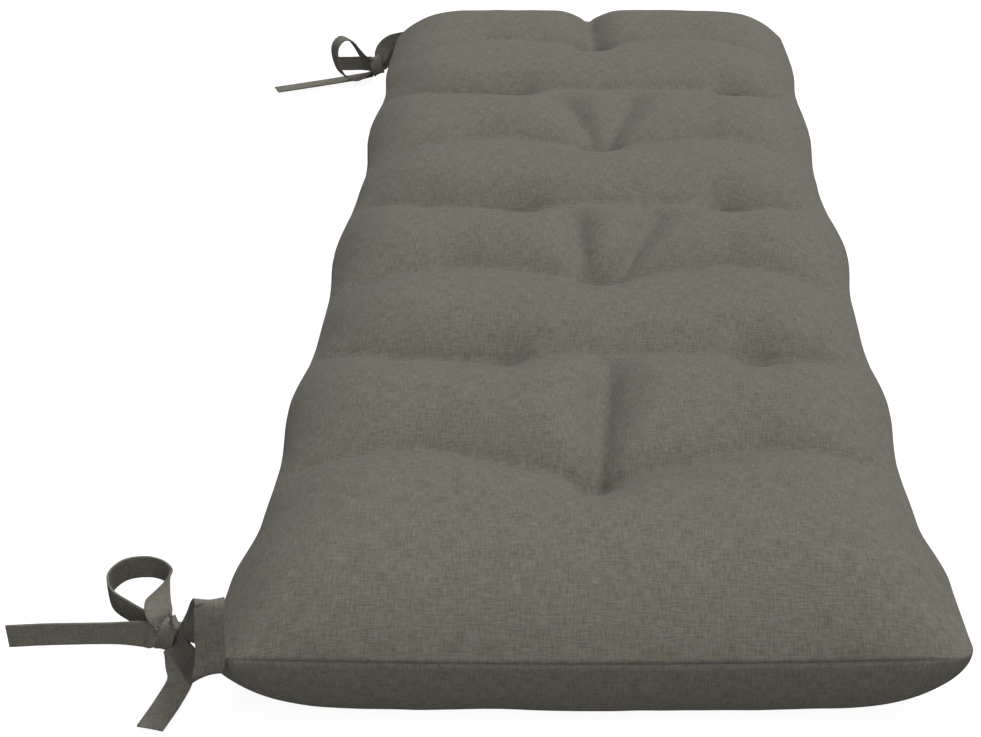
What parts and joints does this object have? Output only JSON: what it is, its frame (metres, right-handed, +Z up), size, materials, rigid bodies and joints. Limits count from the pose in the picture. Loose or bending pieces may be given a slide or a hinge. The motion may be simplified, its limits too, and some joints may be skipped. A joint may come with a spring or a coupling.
{
  "type": "tufted bench cushion with corner ties",
  "caption": "Long tufted bench cushion with a knife edge, and a ribbon tied in a bow at each corner of one long side.",
  "frame": {"origin": "centre of the flat of the underside", "axes": "+Y along the cushion from its near end to its far end, +X across it away from the ties, +Z up"},
  "size_m": [0.6338, 1.2227, 0.1057],
  "materials": {
    "cushion_cloth": "matt woven cloth, grey olive",
    "tie_cloth": "matt woven ribbon, grey olive"
  },
  "bodies": {
    "root": {"cushion": "cushion_cloth", "near_tie_band": "tie_cloth", "near_tie_loop": "tie_cloth", "near_tie_side_tail": "tie_cloth", "near_tie_front_tail": "tie_cloth", "near_tie_knot": "tie_cloth", "far_tie_band": "tie_cloth", "far_tie_loop": "tie_cloth", "far_tie_side_tail": "tie_cloth", "far_tie_back_tail": "tie_cloth", "far_tie_knot": "tie_cloth"}
  },
  "joints": []
}
